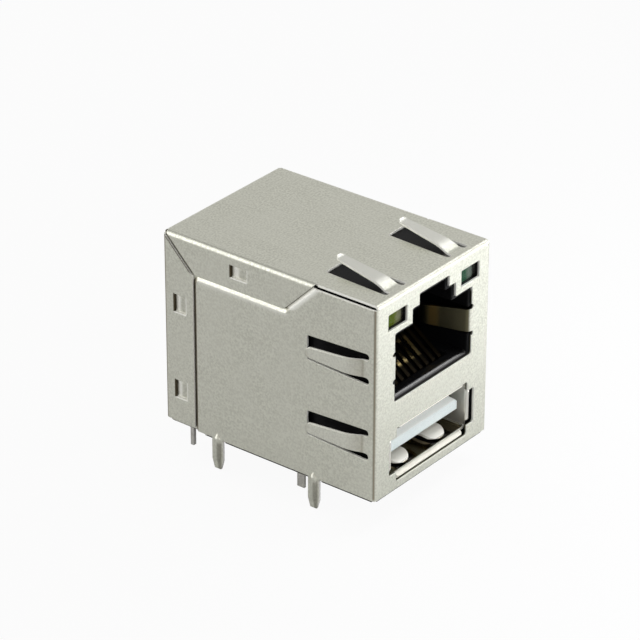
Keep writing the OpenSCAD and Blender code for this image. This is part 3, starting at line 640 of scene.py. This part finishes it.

# %% [markdown]
# ## The group of all sheet masks
# All the masks go into one group with named outputs. They could stand in the material itself, but there
# they would bury the few nodes that make the finish. The lines of painted shade and of painted highlight
# are each joined to one mask, since all shade lines share a tone and so do all highlight ones.

# %% Edge and fold group
BY_SIDE, LEDGE = (-0.5 * MM, -0.4 * MM), (0.6, 0.9)


def line_masks(tree, at, cut):
    """Painted shade, Dark: seam, latches and leg stripes.

    Painted highlight, Light: joggle, latches and level cut edges in the sides.
    """
    by_side = ease(tree, at["side"], *BY_SIDE)
    lit_ledges = product(tree, cut, ease(tree, at["nz"], *LEDGE))
    darks, lights = zip(*(latch_masks(tree, at, latch) for latch in LATCHES))
    stripes = [stripe_shade_mask(tree, at, leg) for leg in LEGS]
    dark = most(tree, seam_shade_mask(tree, at), product(tree, most(tree, *darks), by_side), *stripes)
    light = most(tree, joggle_highlight_mask(tree, at), product(tree, most(tree, lit_ledges, *lights), by_side))
    return dark, light


def edge_group():
    """Seven masks of the folded sheet, each from 0 to 1, from the place and the normal of a point."""
    tree, given, result = new_group(
        "cut_and_fold",
        {"Vector": ("Vector", None), "Normal": ("Vector", None), "Half width": ("Float", PANEL_X),
         "Front": ("Float", FRONT_Y), "Top": ("Float", TOP_Z)},
        ("Cut", "Fold reflection", "Inside", "Bronze", "Dark", "Light", "Raised highlight"))
    at = sheet_places(tree, given)
    port_shade = port_mask(tree, at)
    cut = product(tree, cut_mask(tree, at), minus(tree, 1.0, port_shade))
    dark, light = line_masks(tree, at, cut)
    join(tree,
         (cut, result.inputs["Cut"]),
         (fold_reflection_mask(tree, at), result.inputs["Fold reflection"]),
         (port_shade, result.inputs["Inside"]),
         (product(tree, port_shade, near(tree, at["front"], BAND_DEPTH, *BAND_HALF)), result.inputs["Bronze"]),
         (dark, result.inputs["Dark"]),
         (light, result.inputs["Light"]),
         (raised_highlight_mask(tree, at), result.inputs["Raised highlight"]))
    return tree


EDGES = edge_group()
print("group", EDGES.name, "has", len(EDGES.nodes), "nodes")

# %% [markdown]
# ## The shield's plated sheet
# The shield is one sheet of plated metal, satin and warm grey, folded to a box. A plain metal shader would
# look like a drawing of metal. So the tone and the gloss vary with the grain, and each mask brings its own
# tone, several of them painted light and shade. Nooks that little light reaches get a painted shade, which
# Blender's Ambient Occlusion node finds. A Bevel node rounds the sharp edges in the shading only, and a
# very low bump breaks the reflections up.

# %% Colour of the plated sheet
SHEET_DARK, SHEET_LIGHT = (0.66, 0.66, 0.575), (0.84, 0.845, 0.745)
SHEET_CLOUD, CLOUD_SHARE = (0.79, 0.79, 0.70), 0.35
# The fold tone is a painted dark reflection, the tone in the port a painted shade and the tone of the
# raised fingers a painted highlight.
PLACE_TONES = {
    "Fold reflection": (0.33, 0.295, 0.225),
    "Cut": (0.95, 0.945, 0.90),
    "Inside": (0.125, 0.115, 0.07),
    "Bronze": (0.30, 0.215, 0.085),
    "Raised highlight": (0.90, 0.90, 0.83)}
# The light lines are painted highlights, and the dark lines painted shade.
LINE_TONES = {"Light": (0.98, 0.975, 0.91), "Dark": (0.07, 0.055, 0.028)}
NOOK_SHADE_TONE, NOOK_LIMITS = (0.09, 0.075, 0.045), (0.2, 0.66)
NOOK_REACH, NOOK_SAMPLES = 0.3 * MM, 8


def sheet_color(tree, grain, edges):
    """Grain and cloud, then the tones of places, then the painted shade of nooks, and the lines over all.
    """
    color = mix_color(tree, grain.outputs["Grain"], SHEET_DARK, SHEET_LIGHT)
    color = mix_color(tree, between(tree, grain.outputs["Cloud"], 0.0, CLOUD_SHARE), color, SHEET_CLOUD)
    for mask, tone in PLACE_TONES.items():
        color = mix_color(tree, edges.outputs[mask], color, tone)
    # Nooks get a painted shade.
    nook_shade = put(tree, "ShaderNodeAmbientOcclusion",
               samples=NOOK_SAMPLES, only_local=True, Distance=NOOK_REACH)
    color = mix_color(tree, fade(tree, nook_shade.outputs["AO"], *NOOK_LIMITS), color, NOOK_SHADE_TONE)
    for mask, tone in LINE_TONES.items():
        color = mix_color(tree, edges.outputs[mask], color, tone)
    return color


print("tones for", list(PLACE_TONES) + list(LINE_TONES))

# %% Plated sheet
SHEET_GLOSS, CUT_ROUGHER, BARE_AND_HIGHLIGHT_METALLIC = (0.42, 0.32), 0.2, 0.3
SHEET_ROUND, SHEET_BUMP = 0.12 * MM, 0.004 * MM


def plated_sheet():
    """Metal by the sheet's colour, rougher and less metallic on cut edges, less metallic also under the
    painted highlight lines, with the grain as bump.
    """
    material, tree, shader, place = new_material("plated_sheet_finish")
    grain = use_group(tree, GRAIN, place.outputs["Object"])
    edges = use_group(tree, EDGES, place.outputs["Object"])
    cut = edges.outputs["Cut"]
    rough = math_node(tree, "ADD", between(tree, grain.outputs["Grain"], *SHEET_GLOSS),
                      product(tree, cut, CUT_ROUGHER))
    metallic = between(tree, most(tree, cut, edges.outputs["Light"]), 1.0, BARE_AND_HIGHLIGHT_METALLIC)
    soft = put(tree, "ShaderNodeBevel", Radius=SHEET_ROUND)
    bump = put(tree, "ShaderNodeBump", Strength=0.2, Distance=SHEET_BUMP)
    join(tree,
         (place.outputs["Normal"], edges.inputs["Normal"]),
         (sheet_color(tree, grain, edges), shader.inputs["Base Color"]),
         (rough, shader.inputs["Roughness"]),
         (metallic, shader.inputs["Metallic"]),
         (grain.outputs["Grain"], bump.inputs["Height"]),
         (soft.outputs[0], bump.inputs["Normal"]),
         (bump.outputs[0], shader.inputs["Normal"]))
    return material


FINISH = {"plated_sheet": plated_sheet()}
print("finish", FINISH["plated_sheet"].name)

# %% [markdown]
# ## The serial port's shell
# This inner shell is plated too, but brighter and smoother, because plugs slide over it. Its springs and
# flared lips get a painted white highlight on a rougher, less metallic surface, its floor a painted brown
# reflection and the rim of its roof a darker tone. Each of these could be a piece of its own with its own
# material. The shell is one folded sheet, so masks by place set the tones, measured from the shell's floor
# and its front.

# %% Shell masks
SPRING_X, SHELL_Y, SHELL_Z = 2.97 * MM, -12.55 * MM, 1.65 * MM
SPRING_HALF = 1.34 * MM, 1.4 * MM
SPRING_START, SPRING_END = (0.06 * MM, 0.2 * MM), (1.6 * MM, 2.0 * MM)
LIP_DEPTH, LIP_HEIGHT = (-0.15 * MM, 0.1 * MM), (0.1 * MM, 0.3 * MM)
FLOOR_TOP, FLOOR_UNDER = (0.03 * MM, 0.15 * MM), (-0.6 * MM, -0.35 * MM)
ROOF, WALLS, WALL_SHARE = (4.8 * MM, 4.95 * MM), (6.1 * MM, 6.24 * MM), 0.38


def shell_masks(tree, place):
    """Painted highlight, lips, painted floor reflection and roof, by the distance to the middle, over the
    floor and from the front.

    The painted highlight joins the springs, which rise over the floor near |x| = spring, the lips and part
    of the walls.
    """
    where = split(tree, place.outputs["Object"])
    aside = math_node(tree, "ABSOLUTE", where["X"])
    depth = minus(tree, where["Y"], SHELL_Y)
    height = minus(tree, where["Z"], SHELL_Z)
    springs = product(tree,
                      near(tree, aside, SPRING_X, *SPRING_HALF),
                      ease(tree, height, *SPRING_START),
                      fade(tree, height, *SPRING_END))
    lips = product(tree, fade(tree, depth, *LIP_DEPTH), fade(tree, height, *LIP_HEIGHT))
    floor_reflection = product(tree, fade(tree, height, *FLOOR_TOP), ease(tree, height, *FLOOR_UNDER))
    painted_highlight = most(tree, springs, lips, ease(tree, aside, *WALLS, 0.0, WALL_SHARE))
    return painted_highlight, lips, floor_reflection, ease(tree, height, *ROOF)


print("shell floor", round(SHELL_Z / MM, 2), "mm up, springs", round(SPRING_X / MM, 2), "mm to each side")

# %% Plated shell
# The floor's brown is a painted reflection, and the white of the springs and the cream of the lips are
# painted highlights. The roof's rim is darker.
SHELL_DARK, SHELL_LIGHT = (0.62, 0.605, 0.55), (0.72, 0.71, 0.655)
FLOOR_REFLECTION_TONE, ROOF_TONE = (0.20, 0.165, 0.105), (0.27, 0.265, 0.24)
SHELL_HIGHLIGHT_TONE, LIP_TONE = (0.985, 0.965, 0.90), (0.80, 0.775, 0.69)
SHELL_GLOSS, SHELL_HIGHLIGHT_ROUGHER, SHELL_HIGHLIGHT_METALLIC = (0.09, 0.15), 0.2, 0.15
SHELL_FINE, SHELL_CLOUD, SHELL_BUMP = 6000.0, 400.0, 0.003 * MM


def plated_shell():
    """Smooth metal with a cloudy tone, and the painted reflection, darker rim and painted highlights of
    masks.
    """
    material, tree, shader, place = new_material("plated_shell_finish")
    grain = use_group(tree, GRAIN, place.outputs["Object"], Fine=SHELL_FINE, Cloud=SHELL_CLOUD)
    painted_highlight, lips, floor_reflection, roof = shell_masks(tree, place)
    color = mix_color(tree, grain.outputs["Cloud"], SHELL_DARK, SHELL_LIGHT)
    for mask, tone in ((floor_reflection, FLOOR_REFLECTION_TONE), (roof, ROOF_TONE), (painted_highlight, SHELL_HIGHLIGHT_TONE), (lips, LIP_TONE)):
        color = mix_color(tree, mask, color, tone)
    rough = math_node(tree, "ADD", between(tree, grain.outputs["Grain"], *SHELL_GLOSS),
                      product(tree, painted_highlight, SHELL_HIGHLIGHT_ROUGHER))
    bump = put(tree, "ShaderNodeBump", Strength=0.1, Distance=SHELL_BUMP)
    join(tree,
         (color, shader.inputs["Base Color"]),
         (rough, shader.inputs["Roughness"]),
         (between(tree, painted_highlight, 1.0, SHELL_HIGHLIGHT_METALLIC), shader.inputs["Metallic"]),
         (grain.outputs["Grain"], bump.inputs["Height"]),
         (bump.outputs[0], shader.inputs["Normal"]))
    return material


FINISH["plated_shell"] = plated_shell()
print("finish", FINISH["plated_shell"].name)

# %% [markdown]
# ## Gilt contacts and tinned leads
# The contacts are springs of a copper alloy with a thin bright layer of gold. In the network port only one
# stretch of each arm shines. Below and above it the arms are nearly black, partly bare metal and partly
# painted shade, and the right-hand ones are painted dark all along as shade. The leads of the lights are
# dipped in tin, which sets matt and uneven. Each metal could be built from scratch, but both use the grain
# group with their own values, so one function makes them.

# %% Contacts and leads
ARM_FOOT = 8.0 * MM, 9.0 * MM
# The arms' nearly black tone stands for bare metal and for painted shade, and far to the right for painted
# shade alone.
GILT_START, GILT_END, SHADED_SIDE = (11.1 * MM, 11.35 * MM), (12.2 * MM, 12.7 * MM), (0.6 * MM, 2.2 * MM)
BARE_AND_SHADE_TONE, BARE_AND_SHADE_ROUGHER = (0.012, 0.009, 0.005), 0.35


def bare_and_shade_mask(tree, place):
    """Bare metal and painted shade: 1 on the arms, from their foot up, outside the gilt stretch or far
    enough to the right.
    """
    where = split(tree, place.outputs["Object"])
    on_arm = ease(tree, where["Z"], *ARM_FOOT)
    below = product(tree, on_arm, fade(tree, where["Z"], *GILT_START))
    above = ease(tree, where["Z"], *GILT_END)
    return most(tree, below, above, product(tree, ease(tree, where["X"], *SHADED_SIDE), on_arm))


def drawn_metal(name, dark, light, gloss, cloud, bare_and_shaded_arms=False):
    """Metal between two tones by its cloud, with gloss by its grain, and with arms darkened by bare metal
    and painted shade if it has them.
    """
    material, tree, shader, place = new_material(name)
    grain = use_group(tree, GRAIN, place.outputs["Object"], Cloud=cloud)
    color = mix_color(tree, grain.outputs["Cloud"], dark, light)
    rough = between(tree, grain.outputs["Grain"], *gloss)
    if bare_and_shaded_arms:
        bare_and_shade = bare_and_shade_mask(tree, place)
        color = mix_color(tree, bare_and_shade, color, BARE_AND_SHADE_TONE)
        rough = math_node(tree, "ADD", rough, product(tree, bare_and_shade, BARE_AND_SHADE_ROUGHER))
    shader.inputs["Metallic"].default_value = 1.0
    join(tree,
         (color, shader.inputs["Base Color"]),
         (rough, shader.inputs["Roughness"]))
    return material


FINISH["gilt_contact"] = drawn_metal(
    "gilt_contact_finish", dark=(0.36, 0.28, 0.12), light=(0.48, 0.38, 0.18), gloss=(0.10, 0.16),
    cloud=900.0, bare_and_shaded_arms=True)
FINISH["tinned_lead"] = drawn_metal(
    "tinned_lead_finish", dark=(0.60, 0.59, 0.55), light=(0.76, 0.75, 0.71), gloss=(0.30, 0.45),
    cloud=1400.0)
print("finishes", FINISH["gilt_contact"].name, FINISH["tinned_lead"].name)

# %% [markdown]
# ## Skin of moulded plastic
# A mould for plastic is often eroded by sparks, which leaves a fine matt skin on everything that comes out
# of it. The pits are far too small to model. A group makes that skin once, for all the plastics: pits from
# a fine noise, and a slow change of gloss.

# %% Skin group


def skin_group():
    """Pits: fine noise from 0 to 1. Sheen: slow noise from 0 to 1."""
    tree, given, result = new_group(
        "moulded_skin",
        {"Vector": ("Vector", None), "Pit size": ("Float", 11000.0), "Sheen size": ("Float", 300.0)},
        ("Pits", "Sheen"))
    pits = put(tree, "ShaderNodeTexNoise", Detail=2.0, Roughness=0.5)
    sheen = put(tree, "ShaderNodeTexNoise", Detail=2.0)
    join(tree,
         (given.outputs["Vector"], pits.inputs["Vector"]),
         (given.outputs["Vector"], sheen.inputs["Vector"]),
         (given.outputs["Pit size"], pits.inputs["Scale"]),
         (given.outputs["Sheen size"], sheen.inputs["Scale"]),
         (ease(tree, pits.outputs[0], *NOISE_LIMITS), result.inputs["Pits"]),
         (ease(tree, sheen.outputs[0], *NOISE_LIMITS), result.inputs["Sheen"]))
    return tree


SKIN = skin_group()
print("group", SKIN.name, "puts out", [socket.name for socket in SKIN.nodes["Group Output"].inputs][:-1])

# %% [markdown]
# ## Black mouldings and the pale tongue
# The housing and the contact carrier are black, and the tongue of the serial port is a pale blue-white,
# with a painted highlight on its upper faces, as lit from above. The edges of the housing and the tongue
# are softly rounded, and the housing shines where plugs slide over the lower lip of the network port. A
# rounded mesh and a second material could give that.
# A Bevel node and a coat with a mask need no new mesh, and one function makes all three plastics.

# %% Polished lip
PORT_LIP, LIP_FADE, LIP_UP = (0.3 * MM, 0.5 * MM), 1.4, (0.5, 0.65)
COAT_ROUGHNESS, COAT_IOR = 0.10, 2.2


def polish_lip(tree, shader, place, depth, soft):
    """A coat on faces that point up, from just behind the front face to a depth, on rounded edges."""
    behind = minus(tree, split(tree, place.outputs["Object"])["Y"], FRONT_Y)
    upward = split(tree, place.outputs["Normal"])["Z"]
    coat = product(tree,
                   fade(tree, behind, depth, LIP_FADE * depth),
                   ease(tree, behind, *PORT_LIP),
                   ease(tree, upward, *LIP_UP))
    shader.inputs["Coat Roughness"].default_value = COAT_ROUGHNESS
    shader.inputs["Coat IOR"].default_value = COAT_IOR
    join(tree,
         (coat, shader.inputs["Coat Weight"]),
         (soft.outputs[0], shader.inputs["Coat Normal"]))


print("coat roughness", COAT_ROUGHNESS, "on the lip")

# %% Moulded plastics
UPPER_FACES = 0.2, 0.5


def moulded(name, dark, light, gloss, pit_depth, shine=0.5, round_off=0.0, polish=0.0, top_highlight_tone=None):
    """Plastic between two tones by its sheen, with the skin's pits as bump and as a change of gloss.

    The edges may be rounded by a radius, then polished to a depth, and upper faces may get a painted
    highlight tone.
    """
    material, tree, shader, place = new_material(name)
    skin = use_group(tree, SKIN, place.outputs["Object"])
    bump = put(tree, "ShaderNodeBump", Strength=0.25, Distance=pit_depth)
    shader.inputs["Specular IOR Level"].default_value = shine
    color = mix_color(tree, skin.outputs["Sheen"], dark, light)
    # Upper faces get a painted highlight, a lighter tone for light from above.
    if top_highlight_tone:
        upward = split(tree, place.outputs["Normal"])["Z"]
        color = mix_color(tree, ease(tree, upward, *UPPER_FACES), color, top_highlight_tone)
    if round_off:
        soft = put(tree, "ShaderNodeBevel", Radius=round_off)
        join(tree, (soft.outputs[0], bump.inputs["Normal"]))
        if polish:
            polish_lip(tree, shader, place, polish, soft)
    join(tree,
         (color, shader.inputs["Base Color"]),
         (between(tree, skin.outputs["Pits"], *gloss), shader.inputs["Roughness"]),
         (skin.outputs["Pits"], bump.inputs["Height"]),
         (bump.outputs[0], shader.inputs["Normal"]))
    return material


FINISH["black_moulding"] = moulded(
    "black_moulding_finish", dark=(0.004, 0.004, 0.0045), light=(0.006, 0.006, 0.0065), gloss=(0.30, 0.40),
    pit_depth=0.006 * MM, shine=0.08, round_off=0.35 * MM, polish=1.6 * MM)
FINISH["black_carrier"] = moulded(
    "black_carrier_finish", dark=(0.005, 0.005, 0.0055), light=(0.009, 0.009, 0.0095), gloss=(0.40, 0.52),
    pit_depth=0.006 * MM, shine=0.2)
FINISH["pale_moulding"] = moulded(
    "pale_moulding_finish", dark=(0.70, 0.775, 0.78), light=(0.76, 0.83, 0.825), gloss=(0.26, 0.36),
    pit_depth=0.003 * MM, round_off=0.3 * MM, top_highlight_tone=(0.90, 0.935, 0.915))
print("finishes", FINISH["black_moulding"].name, FINISH["black_carrier"].name, FINISH["pale_moulding"].name)

# %% [markdown]
# ## The lights
# Each light is a block of tinted resin behind its window. Unlit, it is dark, with a strong tint at its left
# end, seen from the front, that fades through grey to a nearly black end, which is painted shade. Real
# see-through resin would need something within to show. A colour ramp across the width gives the same fade,
# a little noise keeps it from looking ruled, and a low specular level keeps the lamps from washing the tint
# out.

# %% Light bodies
LIGHT_SHINE, LIGHT_GLOSS = 0.08, (0.2, 0.32)
LIGHT_SHEEN, SHEEN_MIDDLE, WOBBLE = 900.0, 0.5, 0.1


def color_ramp(tree, stops):
    """A colour ramp with the given stops, each a position and a colour."""
    node = put(tree, "ShaderNodeValToRGB")
    elements = node.color_ramp.elements
    while len(elements) < len(stops):
        elements.new(1.0)
    for stop, (position, color) in zip(elements, stops):
        stop.position, stop.color = position, (*color, 1)
    return node


def light_body(name, node, stops):
    """Resin with a colour ramp from the low to the high end of the node's width, moved by the sheen."""
    material, tree, shader, place = new_material(name)
    low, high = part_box(node)
    skin = use_group(tree, SKIN, place.outputs["Object"], Sheen_size=LIGHT_SHEEN)
    across = put(tree, "ShaderNodeMapRange", From_Min=low[0], From_Max=high[0])
    wobble = product(tree, minus(tree, skin.outputs["Sheen"], SHEEN_MIDDLE), WOBBLE)
    ramp = color_ramp(tree, stops)
    shader.inputs["Specular IOR Level"].default_value = LIGHT_SHINE
    join(tree,
         (split(tree, place.outputs["Object"])["X"], across.inputs["Value"]),
         (math_node(tree, "ADD", across.outputs[0], wobble), ramp.inputs[0]),
         (ramp.outputs[0], shader.inputs["Base Color"]),
         (between(tree, skin.outputs["Pits"], *LIGHT_GLOSS), shader.inputs["Roughness"]))
    return material


# The last, nearly black stop of each ramp is painted shade.
FINISH["left_light"] = light_body("left_light_finish", "led_left", (
    (0.0, (0.055, 0.10, 0.001)),
    (0.48, (0.08, 0.11, 0.004)),
    (0.68, (0.16, 0.165, 0.085)),
    (0.86, (0.12, 0.125, 0.07)),
    (0.94, (0.010, 0.009, 0.006))))
FINISH["right_light"] = light_body("right_light_finish", "led_right", (
    (0.0, (0.010, 0.06, 0.03)),
    (0.42, (0.022, 0.08, 0.04)),
    (0.60, (0.12, 0.155, 0.125)),
    (0.74, (0.10, 0.125, 0.105)),
    (0.82, (0.010, 0.011, 0.009))))
print("finishes", FINISH["left_light"].name, FINISH["right_light"].name)

# %% [markdown]
# ## Dressing the nodes
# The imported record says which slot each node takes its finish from. The finishes could be given out by
# hand, node by node, but the record already holds the list. A node's shape stays as the CAD made it, and
# only the material in its slots is changed.

# %% Put the finishes on
for part in frame["record"]["subparts"]:
    for holder in NODES[part["node"]].material_slots:
        holder.material = FINISH[part["material_slot"]]

# %% [markdown]
# ## View settings
# The Standard view shows a colour about as it is written.

# %% View transform
bpy.context.scene.view_settings.view_transform = "Standard"
